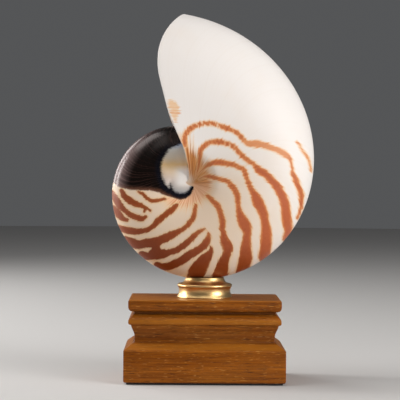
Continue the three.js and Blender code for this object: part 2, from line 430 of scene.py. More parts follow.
def shade(piece, sharp_angle):
    """Smooth shading, with a crisp edge wherever two faces meet at more than this angle."""
    piece.data.polygons.foreach_set("use_smooth", [True] * len(piece.data.polygons))
    piece.data.set_sharp_from_angle(angle=sharp_angle * DEGREE)


bodies = keep_largest_body(shell)
shade(shell, 40)
print("shell:", len(shell.data.polygons), "faces, bodies before cleaning:", bodies)

# %% [markdown]
# ## The markings
#
# The stripes on a nautilus are laid down at the growing edge, so each one is a single brush stroke with
# its own course. A repeating texture would never match, so each stroke is drawn as a short line that was
# read off the photograph, in pixels from its left and top. Every vertex is seen through the
# photograph's camera, and keeps its distance from the nearest stroke's edge. That number is smooth, so
# the material can sharpen it and roughen it at any size. The far flank gets the same strokes, bent a
# little so that it isn't a copy.

# %% The photograph's camera
CAMERA = Vector((-11.2, -898.0, 120.7)) * MM
FOCAL = 1470.0
LEVEL_POINT = (187.0, 181.3)
ROLL = 0.44 * DEGREE
PICTURE_MIDDLE = 200.0
WANDER_DEPTH = 25 * MM


def read_values(name):
    values = np.empty(len(shell.data.vertices))
    shell.data.attributes[name].data.foreach_get("value", values)
    return values


def write_values(name, values):
    attribute = shell.data.attributes.new(name, "FLOAT", "POINT")
    attribute.data.foreach_set("value", np.asarray(values, dtype=np.float32))


points = np.empty((len(shell.data.vertices), 3))
shell.data.vertices.foreach_get("co", points.ravel())
age = read_values("age")
lining = read_values("lining")
depth = -np.abs(points[:, 1]) - CAMERA.y
right = LEVEL_POINT[0] - PICTURE_MIDDLE + FOCAL * (points[:, 0] - CAMERA.x) / depth
below = LEVEL_POINT[1] - PICTURE_MIDDLE - FOCAL * (points[:, 2] - CAMERA.z) / depth
seen_x = PICTURE_MIDDLE + right * math.cos(ROLL) - below * math.sin(ROLL)
seen_y = PICTURE_MIDDLE + right * math.sin(ROLL) + below * math.cos(ROLL)
# The far flank's strokes wander away from the near ones, but meet them on the rim.
wander = np.clip(points[:, 1] / WANDER_DEPTH, 0, 1)
seen_x += 4.0 * wander * np.sin(seen_y / 17 + 0.6)
seen_y += 4.5 * wander * np.sin(seen_x / 15 + 1.9)
seen = np.column_stack([seen_x, seen_y])
print(f"the shell spans x {seen_x.min():.0f} to {seen_x.max():.0f} in the photograph")

# %% The strokes, each as (x, y, width) along its course
STROKES = [
    [(185, 145, 5), (184.3, 138, 5), (187.2, 132.2, 5.5), (191.8, 127.6, 6), (198, 125, 5),
     (205, 123.4, 5), (213, 123.7, 5), (217.2, 125, 4.8), (224.7, 127.6, 5.4), (231.3, 130, 5),
     (237.2, 133, 4.6), (241.3, 137.2, 5), (245.5, 142, 5), (250.5, 143.8, 6.5), (258, 143.8, 7),
     (266.3, 146, 6), (276.3, 149.7, 5.5), (284.7, 153.8, 6), (289.3, 158, 4.5), (291.3, 163, 3.5),
     (292.3, 168, 2.5), (292.6, 172, 4), (294.7, 178, 5.5), (297.6, 184.7, 6), (300.5, 192, 6),
     (301.8, 197, 5.5), (301.2, 204, 4), (300.5, 210, 3.2), (297.5, 218, 3.5)],
    [(296.8, 141.3, 1), (301.3, 148.8, 2.2), (306.3, 155.5, 2.8), (309.7, 163, 2.4), (311.2, 171, 2)],
    [(195.5, 178, 1), (197.5, 172, 2), (199, 164, 3.2), (199.8, 155, 4.2), (200.9, 149.7, 5),
     (204.7, 145.5, 5.5), (209.7, 142.6, 5), (216.3, 141.7, 6), (223, 142.6, 5.8), (228.8, 144.2, 5),
     (233.8, 146.7, 5), (238.8, 152.2, 5.4), (244.7, 158, 5), (250.5, 162.2, 5), (255, 165.5, 5.2),
     (258.8, 170, 8), (264.7, 173.8, 8), (271.3, 179.7, 8), (277.2, 187.2, 9), (282.2, 196.3, 9.5),
     (285, 204, 10), (286.3, 214, 10.5), (287.2, 223, 10.5), (288.4, 230.5, 9), (286, 239, 7)],
    [(198, 174, 1), (203, 169.5, 2), (208.5, 165, 4), (213.8, 162.6, 6), (219.7, 162.4, 6.5),
     (226.3, 163.4, 6), (233, 164.7, 5.5), (238.8, 167.2, 5), (244, 170, 5.2), (245.5, 174.7, 5.2),
     (248, 181.3, 5), (250.5, 188, 6), (254.3, 194, 8), (257.2, 200.5, 11.5), (260.5, 207.2, 11),
     (263.8, 215.5, 9.5), (265.5, 224.7, 9.5), (266.3, 233, 11.5), (266, 245, 12), (264, 257, 12)],
    [(199, 179.5, 1), (203.5, 176.8, 2.4), (208.5, 176.4, 4.6), (215.5, 178, 4.6), (222.2, 179.7, 4.8),
     (227.2, 181.3, 5), (231.3, 185.5, 6), (235.5, 191.3, 6.5), (237.6, 197, 6.5), (238, 204, 5.5),
     (239.3, 212, 7), (242.2, 219.7, 11), (245.5, 226.3, 12), (247.4, 233, 8.5), (246.7, 238.3, 9),
     (245.8, 250.8, 12.5), (245.4, 259, 14), (242, 272, 13)],
    [(207.5, 196, 4.5), (213.8, 202.2, 6), (218, 206.3, 6.5), (220.5, 213.8, 6), (222.6, 222.2, 7),
     (222.2, 228.8, 6), (223.3, 231.7, 6), (224.2, 240, 9), (227.5, 246.7, 11), (227.3, 252.5, 9),
     (224.2, 260.8, 10.5), (221.7, 270, 14), (219.5, 277, 15)],
    [(195.8, 205, 4), (194.6, 211, 5), (193.3, 217.5, 5.5), (189.2, 223.3, 6), (184.2, 228.3, 5),
     (177.5, 232, 6.5), (170, 235.8, 9), (162.5, 239.2, 9), (155, 242.5, 11), (146.7, 243, 9.5),
     (138.3, 244.6, 9.5), (132, 243, 10), (125, 240, 9)],
    [(204.2, 229.2, 3), (199.2, 231.7, 4.5), (194.2, 235.8, 6), (189.2, 240.8, 6.5), (183.3, 245.8, 7),
     (176.7, 250, 7), (169.2, 252.5, 7), (161.7, 254, 10), (155, 254, 12), (149, 256.5, 8),
     (142, 254.5, 8)],
    [(155, 243, 10), (157, 252, 9)],
    [(208.3, 233.3, 3), (208.3, 238.3, 6.5), (205, 244.2, 8), (198.3, 250, 8), (190.8, 254.2, 9),
     (182.5, 260, 9), (174.2, 264.2, 8.5), (165, 267, 8), (157, 265, 7)],
    [(211.3, 247.5, 3.5), (210, 253.3, 7), (205, 259.2, 12), (200.8, 265.8, 15), (196.7, 272.5, 17),
     (194, 279, 16)],
    [(176.7, 205, 4.5), (171.7, 210, 7), (165, 215, 6.5), (158.3, 220.8, 7), (152.5, 226.7, 6),
     (145, 230.4, 5.5), (136.7, 231.7, 7), (129.2, 230.8, 8), (123.3, 229.2, 7), (117, 226.5, 5)],
    [(121.7, 190.8, 5), (124.2, 195.8, 6.5), (130, 200.8, 7.5), (136.7, 204.2, 6.5),
     (141.7, 205.8, 5.5), (146.7, 208.3, 3.5), (150.4, 210.8, 3)],
    [(145.8, 208, 3.5), (144.4, 211.5, 3)],
    [(112, 192, 4), (116.7, 200.8, 8), (122.5, 208.3, 6.5), (128.3, 213.3, 6), (135, 216.7, 6.5),
     (140.8, 218.8, 6.5), (145.8, 216.7, 4)],
    [(113, 207, 4), (118.3, 213.3, 8), (122.5, 218.3, 6), (126.7, 220, 4.5)],
    [(138.3, 191.7, 3), (143.3, 194.2, 4), (146.7, 198, 4), (151.7, 200.8, 4.5), (158.3, 200.4, 4),
     (165, 198.8, 3.5)],
]
PALE_COURSES = [
    [(245, 142.5, 6), (258, 144, 9), (276, 149.5, 8), (287, 156, 5)],
    [(296, 140, 4), (303, 151, 6), (309, 161, 6), (312, 172, 5)],
]
OUTSIDE = -60.0
LIP_PATCH = [(171.5, 103, 7), (174.5, 108.5, 11), (174.5, 114, 8), (175.5, 120, 4)]


def smooth_course(course, pieces=4):
    """More points along a course, on a curve that passes through every given one."""
    given = np.array(course, dtype=float)
    ends = np.vstack([2 * given[0] - given[1], given, 2 * given[-1] - given[-2]])
    made = []
    for first, start, end, last in zip(ends, ends[1:], ends[2:], ends[3:]):
        for share in np.arange(pieces) / pieces:
            bend = (2 * first - 5 * start + 4 * end - last) * share**2
            twist = (3 * start - first - 3 * end + last) * share**3
            made.append(start + 0.5 * ((end - first) * share + bend + twist))
    return np.array([*made, given[-1]])


def from_segment(start, end):
    """How far along a segment every vertex lies, and its distance from the segment."""
    run = end[:2] - start[:2]
    along = np.clip(((seen - start[:2]) @ run) / (run @ run), 0, 1)
    return along, np.linalg.norm(seen - start[:2] - along[:, None] * run, axis=1)


def inside_course(course):
    """Pixels inside the edge of a course of varying width, for every vertex; negative outside."""
    deepest = np.full(len(seen), OUTSIDE)
    line = smooth_course(course)
    for start, end in zip(line, line[1:]):
        along, away = from_segment(start, end)
        deepest = np.maximum(deepest, 0.5 * (start[2] + along * (end[2] - start[2])) - away)
    return deepest


stripe = np.max([inside_course(course) for course in STROKES], axis=0)
write_values("stripe", stripe)
write_values("pale", np.max([inside_course(course) for course in PALE_COURSES], axis=0))
write_values("lip_patch", np.where(age > -0.2, inside_course(LIP_PATCH), OUTSIDE))
print(len(STROKES), f"strokes on {(stripe > 0).mean():.0%} of the vertices")

# %% [markdown]
# ## Film, callus and hub
#
# In front of the mouth the animal coats the inner whorl with a thin black film, and it fills the hub with
# a pearly callus. Round the hub the shell has fine orange streaks that point at the coil axis. Each of
# these is one more number on the vertices: the distance inside an outline, or the angle about the hub.


# %% Outlines of the film and the callus
def inside_outline(outline):
    """Pixels inside a closed outline, for every vertex; negative outside."""
    corners = np.array(outline, dtype=float)
    nearest = np.full(len(seen), 1e9)
    crossings = np.zeros(len(seen), dtype=int)
    for start, end in zip(corners, np.roll(corners, -1, axis=0)):
        run = end - start
        nearest = np.minimum(nearest, from_segment(start, end)[1])
        spans = (start[1] > seen[:, 1]) != (end[1] > seen[:, 1])
        meets = start[0] + (seen[:, 1] - start[1]) * run[0] / (run[1] if run[1] else 1e-9)
        crossings += spans & (seen[:, 0] < meets)
    return np.where(crossings % 2 == 1, nearest, -nearest)


FILM = [
    (172, 118), (90, 100), (90, 181), (112, 182), (119, 187), (125, 189), (133, 190.3), (142, 190.5),
    (150, 190.8), (158, 192.5), (164.4, 195), (170.6, 197.2), (176.3, 199), (181.3, 199.7), (186.3, 198.2),
    (190.6, 195), (193.2, 189), (193.5, 183), (200, 176), (204, 165), (204, 150), (196, 136), (184, 118),
]
CALLUS_PATCH = [
    (179, 144), (174, 146), (168.8, 148.5), (165, 154), (162.3, 159), (160.3, 165), (160.6, 172),
    (162.5, 179.4), (165.6, 185.6), (169.6, 189), (170.3, 183.5), (171.4, 188), (175, 192.4), (180, 194.4),
    (185.6, 193.4), (190, 190), (191.8, 185), (192.5, 180), (200, 174), (202, 165), (202, 150), (194, 140),
    (186, 140),
]
# The narrow face behind the lip has the lip's own age, so it is told by how deep it lies.
behind_lip = (age > -0.001) & (np.abs(points[:, 1]) < 24 * MM)
early = ((age < -0.28) | behind_lip) & (lining < 0.5)
film = np.where(early, inside_outline(FILM), OUTSIDE)
film = np.where((age < -1.0) & early, np.maximum(film, 8.0), film)
callus = np.where((early & (age > -1.12)) | (age > -0.002), inside_outline(CALLUS_PATCH), OUTSIDE)
write_values("film", film)
write_values("callus", callus)

# %% Raise the callus into a rounded knob
CALLUS_RISE = 1.5 * MM
KNOB_EDGE = 9.0
LIP_FOOT = 183
LIP_LINE = [
    (172, 118, 0), (176, 129, 0), (181, 141, 0), (185, 154, 0), (188, 166, 0), (190, 175, 0), (193, 184, 0),
]
from_lip = np.where(seen[:, 1] < LIP_FOOT, -inside_course(LIP_LINE), KNOB_EDGE)
rise = np.clip(np.minimum(np.where(early, callus, 0.0), from_lip) / KNOB_EDGE, 0, 1)
points[:, 1] += np.sign(points[:, 1]) * CALLUS_RISE * rise * (2 - rise)
shell.data.vertices.foreach_set("co", points.ravel())
shell.data.update()
print(f"callus raised on {(rise > 0).sum()} vertices")

# %% Streaks about the hub
HUB = np.array([192.0, 183.5])
FAN = [
    (184.3, 139, 4), (187.3, 150, 6), (191.5, 159, 11), (196, 167, 17), (200, 175, 16), (201.5, 184, 17),
    (198, 193, 14), (190, 199.5, 9), (180, 202, 6), (169, 200, 4),
]
fan = inside_course(FAN)
write_values("fan", fan)
write_values("hub_angle", np.arctan2(HUB[1] - seen[:, 1], seen[:, 0] - HUB[0]))
print(f"film on {(film > 0).sum()} vertices, fan on {(fan > 0).sum()}")

# %% [markdown]
# ## The shell's finish
#
# The surface is a satin porcelain layer. Its ground is white near the mouth and cream on the older part,
# the strokes are orange-brown with torn edges and a pale orange halo, and fine growth lines run across
# everything. One material does it all: each marking is a mask made from its distance, and the masks
# choose between plain colours one after the other.


# %% Small shader helpers
def shader_net(material):
    """A material's empty tree with its surface shader ready."""
    material.use_nodes = True
    net = Net(material.node_tree)
    surface = next(node for node in material.node_tree.nodes if node.type == "BSDF_PRINCIPLED")
    return net, surface


def noise(net, place, scale, detail=3.0, roughness=0.55):
    sockets = {"Vector": place, "Scale": scale, "Detail": detail, "Roughness": roughness}
    return net.node("ShaderNodeTexNoise", None, sockets)


def line_noise(net, place, scale, detail=2.0, roughness=0.5):
    """Noise along one number, for lines that follow a coordinate of the surface."""
    sockets = {"W": place, "Scale": scale, "Detail": detail, "Roughness": roughness}
    return net.node("ShaderNodeTexNoise", {"noise_dimensions": "1D"}, sockets)


def stored(net, name):
    return net.node("ShaderNodeAttribute", {"attribute_name": name}, None, "Fac")


def object_place(net):
    return net.node("ShaderNodeTexCoord", None, None, "Object")


def stretched(net, place, x, y, z):
    return net.node("ShaderNodeMapping", None, {"Vector": place, "Scale": (x, y, z)})


def bump(net, height, distance, strength=1.0):
    return net.node("ShaderNodeBump", None, {"Height": height, "Distance": distance, "Strength": strength})


# %% The shell's colours
WHITE = (0.80, 0.75, 0.71)
CREAM = (0.78, 0.61, 0.46)
CREAM_WARM = (0.74, 0.56, 0.38)
GROWTH_LINE = (0.60, 0.47, 0.34)
STROKE = (0.47, 0.112, 0.038)
STROKE_EDGE = (0.64, 0.225, 0.070)
STROKE_DARK = (0.22, 0.038, 0.004)
STROKE_PALE = (0.74, 0.33, 0.14)
HALO = (0.80, 0.50, 0.25)
FAN_GOLD = (0.74, 0.33, 0.100)
FAN_DARK = (0.44, 0.130, 0.030)
FAN_PALE = (0.86, 0.52, 0.32)
FAN_STREAK = (0.62, 0.225, 0.085)
FILM_DARK = (0.0034, 0.0014, 0.0007)
FILM_BROWN = (0.022, 0.008, 0.006)
FILM_EDGE = (0.15, 0.062, 0.036)
# The film's rim colour is partly the thin film's own tint and partly a painted sheen.
FILM_RIM_SHEEN = (0.28, 0.185, 0.175)
NAVY = (0.0035, 0.0036, 0.0075)
# A painted highlight on the callus.
PEARL_HIGHLIGHT = (0.95, 0.90, 0.85)
PEARL = (0.66, 0.60, 0.53)
PEARL_COOL = (0.55, 0.58, 0.62)
PEARL_ROSE = (0.70, 0.57, 0.54)
# The callus from bottom to top: pearly tints, and a darker blue-grey top that is partly painted shade.
PEARL_AND_SHADE_STOPS = [
    (0.0, (0.14, 0.15, 0.21)), (0.10, (0.50, 0.48, 0.46)), (0.30, (0.78, 0.66, 0.58)),
    (0.48, (0.84, 0.64, 0.43)), (0.60, (0.76, 0.52, 0.25)), (0.74, (0.62, 0.54, 0.43)),
    (0.90, (0.50, 0.51, 0.48)), (1.0, (0.25, 0.34, 0.50)),
]


def paint_shell(material):
    net, surface = shader_net(material)
    mix = net.mix
    place = object_place(net)
    across, _, height = net.split(place)
    age_value = stored(net, "age")
    fine = noise(net, place, 1300.0, 2.0)
    middle = noise(net, place, 420.0, 3.0)
    broad = noise(net, place, 45.0, 2.0)
    wobble = middle - 0.5
    grit = fine - 0.5
    teeth = line_noise(net, age_value + wobble * 0.0030, 130.0, 5.0, 0.8)
    torn = ((teeth - 0.5) * 6.5).math("MAXIMUM", -0.3) * (0.75 + 0.25 * age_value.step(-0.5, -0.25))
    ripple = torn - 0.35 + wobble * 1.2 + grit * 1.0

    whiteness = (age_value * 2.2 + stored(net, "share") * 0.5).step(-0.72, -0.04)
    ground = mix(whiteness, CREAM, WHITE)
    ground = mix(broad.step(0.45, 0.85) * (0.55 - 0.45 * whiteness), ground, CREAM_WARM)
    growth_line = line_noise(net, age_value + wobble * 0.002, 260.0)
    ground = mix(growth_line.step(0.45, 0.8) * 0.05, ground, GROWTH_LINE)
    comb = line_noise(net, height + wobble * 0.0020, 900.0, 3.0)
    lip_patch = (stored(net, "lip_patch") + (comb - 0.5) * 8.0 + wobble * 4.0).step(-1.5, 2.0)
    patch_colour = mix(comb.step(0.4, 0.7) * (1 - height.step(158 * MM, 170 * MM)), HALO, STROKE_PALE)
    ground = mix(lip_patch * (0.65 + 0.3 * comb), ground, patch_colour)

    hub_angle_value = stored(net, "hub_angle")
    streaks = line_noise(net, hub_angle_value + wobble * 0.03, 16.0, 4.0)
    fan_inside = stored(net, "fan") + (streaks - 0.5) * 15.0 + wobble * 2.0
    fan_line = streaks.step(0.44, 0.62)
    gold = mix(fan_line, FAN_GOLD, FAN_DARK)
    peach = mix(fan_line * 0.8, FAN_PALE, FAN_STREAK)
    fan_colour = mix(hub_angle_value.step(-0.6, 0.4), peach, gold)
    colour = mix(fan_inside.step(-9.0, -0.5) * 0.55, ground, HALO)
    colour = mix(fan_inside.step(-3.0, 3.0), colour, fan_colour)

    inside = stored(net, "stripe") + ripple
    colour = mix(inside.step(-2.2, -0.2) * 0.7, colour, HALO)
    deep = (1 - age_value.step(-0.62, -0.27)) * 0.7 + (1 - height.step(62 * MM, 95 * MM)) * 0.45
    deep = deep + (broad - 0.5) * 0.4 + wobble * 0.3
    stroke = mix(inside.step(0.2, 2.4), STROKE_EDGE, STROKE)
    stroke = mix(deep.step(0.0, 1.0), stroke, STROKE_DARK)
    stroke = mix(fine.step(0.45, 0.75) * 0.25, stroke, STROKE_DARK)
    stroke = mix(stored(net, "pale").step(-5.0, 4.0) * 0.65, stroke, STROKE_PALE)
    stripe_mask = inside.step(-0.5, 0.5)
    colour = mix(stripe_mask, colour, stroke)

    film_inside = stored(net, "film") + wobble * 2.4 + grit * 1.6
    scratch = line_noise(net, age_value + wobble * 0.004, 150.0, 4.0)
    film_colour = mix(scratch.step(0.50, 0.74) * broad.step(0.35, 0.6), FILM_DARK, FILM_BROWN)
    film_colour = mix(film_inside.step(0.3, 6.0) ** 0.5, FILM_EDGE, film_colour)
    # Painted sheen: on the whorl's rim the film turns lighter, for the rim highlight and for the thinner
    # film.
    thin_rim_sheen = stored(net, "share").step(0.74, 1.0) * age_value.step(-0.95, -0.80)
    film_colour = mix(thin_rim_sheen * (0.35 + 0.9 * scratch), film_colour, FILM_RIM_SHEEN)
    film_mask = film_inside.step(-0.8, 0.9)
    colour = mix(film_mask, colour, film_colour)

    hairs = noise(net, stretched(net, place, 500.0, 500.0, 1900.0), 1.0, 2.0)
    callus_depth = stored(net, "callus")
    callus_inside = callus_depth + (hairs - 0.5) * 5.0 * (1 - callus_depth.step(3.0, 7.0))
    # The ramp darkens the callus's top, partly as painted shade under the lip.
    band = (height - 112 * MM) / (31 * MM) + wobble * 0.06
    pearl = net.node("ShaderNodeValToRGB", {"stops": PEARL_AND_SHADE_STOPS}, {"Fac": band}, "Color")
    # Painted highlight: the callus turns nearly white low on its right, beside the lip.
    callus_highlight = (across - COIL.x).step(-9 * MM, -2 * MM) * height.step(116 * MM, 120 * MM)
    pearl = mix(callus_highlight * (1 - height.step(126 * MM, 131 * MM)), pearl, PEARL_HIGHLIGHT)
    rim = callus_depth.step(-7.0, -2.5) * film_mask
    colour = mix(rim, colour, NAVY)
    callus_mask = callus_inside.step(-0.8, 2.6)
    colour = mix(callus_mask, colour, pearl)

    lining_mask = stored(net, "lining").step(0.4, 0.6)
    depths = (age_value + 1.0).step(-0.1, -0.02)
    nacre = mix(broad.step(0.38, 0.62), PEARL, PEARL_ROSE)
    nacre = mix(middle.step(0.45, 0.75) * 0.5, nacre, PEARL_COOL)
    colour = mix(lining_mask, colour, nacre)
    back_wall = (1 - depths) * (1 - lining_mask) * (age_value < -0.9)
    colour = mix(back_wall, colour, nacre)

    gloss = 0.46 + 0.08 * wobble - 0.16 * callus_mask - film_mask * (1 - callus_mask) * 0.21
    film_relief = film_mask * (1 - callus_mask) * (scratch * 0.45 + middle * 0.3)
    relief = growth_line * 0.15 + middle * 0.15 + film_relief
    sockets = {
        "Base Color": colour,
        "Roughness": gloss + film_mask * (scratch - 0.5) * 0.16,
        "Normal": bump(net, relief, 0.12 * MM, 0.35),
        "Coat Weight": 0.5 * callus_mask,
        "Coat Roughness": 0.2,
        "Specular IOR Level": 0.34,
        "Specular Tint": (1.0, 0.88, 0.84, 1.0),
    }
    net.fill(surface, sockets)


paint_shell(shell_finish)
print("shell finish:", len(shell_finish.node_tree.nodes), "nodes")

# %% Set the shell on the frame
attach(shell, "root")
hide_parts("shell")

# %% [markdown]
# ## The brass collar
#
# The collar is turned on a lathe: a foot, a hollow waist, a bead and a narrow neck that carries the
# shell. A lathe piece is one profile spun about its axis, so it is made the same way here. Its top is
# dished by cutting away the shell's own rim with a little room to spare, as a maker would file it to fit.


# %% Tools for turned and cut pieces
def new_piece(name, work, material):
    mesh = bpy.data.meshes.new(name)
    bmesh.ops.recalc_face_normals(work, faces=work.faces)
    work.to_mesh(mesh)
    work.free()
    mesh.materials.append(material)
    return new_object(name, mesh)


def loft(work, rings):
    """Faces between each ring of vertices and the next. A ring can be a single point."""
    for low, high in zip(rings, rings[1:]):
        for here in range(max(len(low), len(high))):
            corners = [low[here % len(low)], low[(here + 1) % len(low)]]
            corners += [high[(here + 1) % len(high)], high[here % len(high)]]
            work.faces.new(list(dict.fromkeys(corners)))


def turned(name, profile, material, steps=128):
    """A profile of (radius, height) pairs in millimetres, spun about the Z axis and closed on it."""
    work = bmesh.new()
    rings = []
    for radius, height in profile:
        if radius == 0:
            rings.append([work.verts.new((0, 0, height * MM))])
            continue
        ring = []
        for step in range(steps):
            angle = TURN * step / steps
            spot = (radius * math.cos(angle), radius * math.sin(angle), height)
            ring.append(work.verts.new(Vector(spot) * MM))
        rings.append(ring)
    loft(work, rings)
    return new_piece(name, work, material)


def cut_away(piece, tools):
    """Takes the tools' shapes out of a piece and throws the tools away."""
    for tool in tools:
        modifier = piece.modifiers.new("cut", "BOOLEAN")
        modifier.object = tool
        modifier.operation = "DIFFERENCE"
        modifier.solver = "MANIFOLD"
    apply_modifiers(piece)
    work = bmesh.new()
    work.from_mesh(piece.data)
    bmesh.ops.dissolve_degenerate(work, edges=work.edges, dist=SLIVER)
    work.to_mesh(piece.data)
    work.free()
    for tool in tools:
        bpy.data.objects.remove(tool)


def drill(radius, low, high, material):
    profile = [(0, low), (radius, low), (radius, high), (0, high)]
    return turned("drill", profile, material, 48)


def settle(piece, node):
    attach(piece, "root")
    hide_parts(node)


def arc(centre, radius, start, end, steps=6):
    """Points on an arc of a profile, with angles in degrees from the +radius direction."""
    turns = [math.radians(start + (end - start) * step / steps) for step in range(steps + 1)]
    return [(centre[0] + radius * math.cos(turn), centre[1] + radius * math.sin(turn)) for turn in turns]


# %% Turn the collar
brass_finish = bpy.data.materials.new("brass_satin_turned")
COLLAR_PROFILE = [
    (0, 50.0), (16.5, 50.0),
    *arc((16.5, 50.3), 0.3, -90, 20, 4),
    *arc((21.82, 54.0), 6.12, 214, 160, 12),
    *arc((15.65, 57.3), 1.05, -50, 60, 10),
    *arc((15.4, 62.1), 3.6, 275, 186, 10),
    (11.6, 62.2), (0, 62.2),
]
SEAT_GAP = 0.3 * MM
SCREW_HOLE = 2.85
SCREW_RECESS = 5.35
collar = turned("collar_ring", COLLAR_PROFILE, brass_finish)
seat_sizes = {**WHOLE, "From": -TURN, "To": 0.0, "Inset": -SEAT_GAP}
seat = grown("seat_tool", bpy.data.node_groups["whorl_outside"], seat_sizes)
seat.location = COIL
screw_hole = drill(SCREW_HOLE, 49.0, 57.35, brass_finish)
bpy.context.view_layer.update()
cut_away(collar, [seat, screw_hole])
shade(collar, 30)
settle(collar, "collar")
print("collar:", len(collar.data.polygons), "faces")

# %% [markdown]
# ## The brass finish
#
# Fresh turning leaves fine rings round the metal and a satin gloss. The rings follow height and radius,
# so a line of noise along those two numbers gives them, with a broad noise for the places where fingers
# dulled the polish.


# %% Paint the brass
def paint_brass(material):
    net, surface = shader_net(material)
    place = object_place(net)
    x, y, z = net.split(place)
    radius = (x * x + y * y).math("SQRT")
    rings = line_noise(net, z + radius, 9000.0, 3.0)
    smudge = noise(net, place, 90.0, 3.0)
    colour = net.mix(smudge.step(0.3, 0.75), (0.80, 0.53, 0.23), (0.68, 0.43, 0.17))
    colour = net.mix((rings - 0.4) * 0.4, colour, (0.86, 0.66, 0.38))
    gloss = 0.30 + 0.10 * smudge + 0.08 * (rings - 0.5)
    relief = bump(net, rings, 0.04 * MM, 0.4)
    net.fill(surface, {"Base Color": colour, "Roughness": gloss, "Normal": relief, "Metallic": 1.0})


paint_brass(brass_finish)

# %% [markdown]
# ## The hardwood base
#
# The base is two boards with a moulded edge on all four sides, mitred at the corners. On a real one the
# router runs round the board with one cutter. Here one profile of insets and heights is lofted round a
# rectangle with slightly softened corners, which gives the same mitres and costs few faces.


# %% Mouldings
BASE_HALF = (48.25, 30.0)
CORNER = 0.7


def moulded(name, profile, material, corner_steps=4):
    """A board from (inset, height) pairs in millimetres, each a ring round the base."""
    work = bmesh.new()
    rings = []
    for inset, height in profile:
        ring = []
        for quarter, (sign_x, sign_y) in enumerate(((1, 1), (-1, 1), (-1, -1), (1, -1))):
            centre = (sign_x * (BASE_HALF[0] - inset - CORNER), sign_y * (BASE_HALF[1] - inset - CORNER))
            for x, y in arc(centre, CORNER, 90 * quarter, 90 * quarter + 90, corner_steps):
                ring.append(work.verts.new(Vector((x, y, height)) * MM))
        rings.append(ring)
    loft(work, rings)
    work.faces.new(list(reversed(rings[0])))
    work.faces.new(rings[-1])
    return new_piece(name, work, material)


# %% Mould the two boards
wood_finish = bpy.data.materials.new("hardwood_satin")
PLINTH_PROFILE = [
    (1.3, 1.0),
    *[(1.3 - out, height) for out, height in arc((0.0, 2.3), 1.3, -80, 0, 5)],
    (0.0, 19.8), (0.12, 20.2), (0.5, 20.6), (1.2, 21.1), (5.1, 24.0), (5.9, 24.6), (6.3, 25.5),
    (6.4, 28.4), (6.3, 29.4), (5.9, 30.6), (5.3, 32.0), (4.7, 33.4), (4.45, 34.4),
    (4.35, 34.85), (4.0, 35.1), (3.3, 35.3), (2.95, 35.55), (2.75, 35.95), (2.7, 36.6),
    (2.75, 37.9), (3.1, 38.8), (3.9, 39.7), (5.6, 41.2), (6.2, 41.8),
]
CAP_PROFILE = [
    (6.2, 41.8), (6.1, 42.6), (5.6, 42.95), (4.6, 43.1), (3.7, 43.5), (3.0, 44.3), (2.7, 45.3),
    (2.6, 46.6), (2.6, 48.7), (2.68, 49.3), (2.9, 49.72), (3.3, 49.94), (3.9, 50.0),
]
plinth = moulded("plinth_block", PLINTH_PROFILE, wood_finish)
recess = drill(SCREW_RECESS, 0.0, 10.0, wood_finish)
cut_away(plinth, [drill(SCREW_HOLE, 0.0, 43.0, wood_finish), recess])
cap_board = moulded("cap_board_top", CAP_PROFILE, wood_finish)
cut_away(cap_board, [drill(SCREW_HOLE, 40.0, 51.0, wood_finish)])
for piece, node in ((plinth, "plinth"), (cap_board, "cap_board")):
    shade(piece, 28)
    settle(piece, node)
print("boards:", len(plinth.data.polygons), "and", len(cap_board.data.polygons), "faces")

# %% [markdown]
# ## The wood finish
#
# The wood is an open-grained brown hardwood under a satin lacquer. Its grain runs along the base. Wood is
# a solid, so the pattern is too: rings about an axis that runs along X, stretched noise for the fibres,
# and short dark pores. That way the long faces show straight grain and the short ends show end grain,
# with no seams at the corners.


# %% Paint the wood
WOOD_MIDDLE = (0.235, 0.062, 0.0035)
WOOD_LIGHT = (0.34, 0.100, 0.007)
WOOD_GOLD = (0.41, 0.142, 0.014)
WOOD_DARK = (0.125, 0.030, 0.0020)
WOOD_PORE = (0.030, 0.008, 0.0015)
# A painted glint colour for the wood's bright flecks.
WOOD_GLINT = (0.62, 0.30, 0.075)


def band(height, start, full, fading, end):
    """One between two heights in millimetres, falling off to nothing on both sides."""
    return height.step(start * MM, full * MM) * (1 - height.step(fading * MM, end * MM))


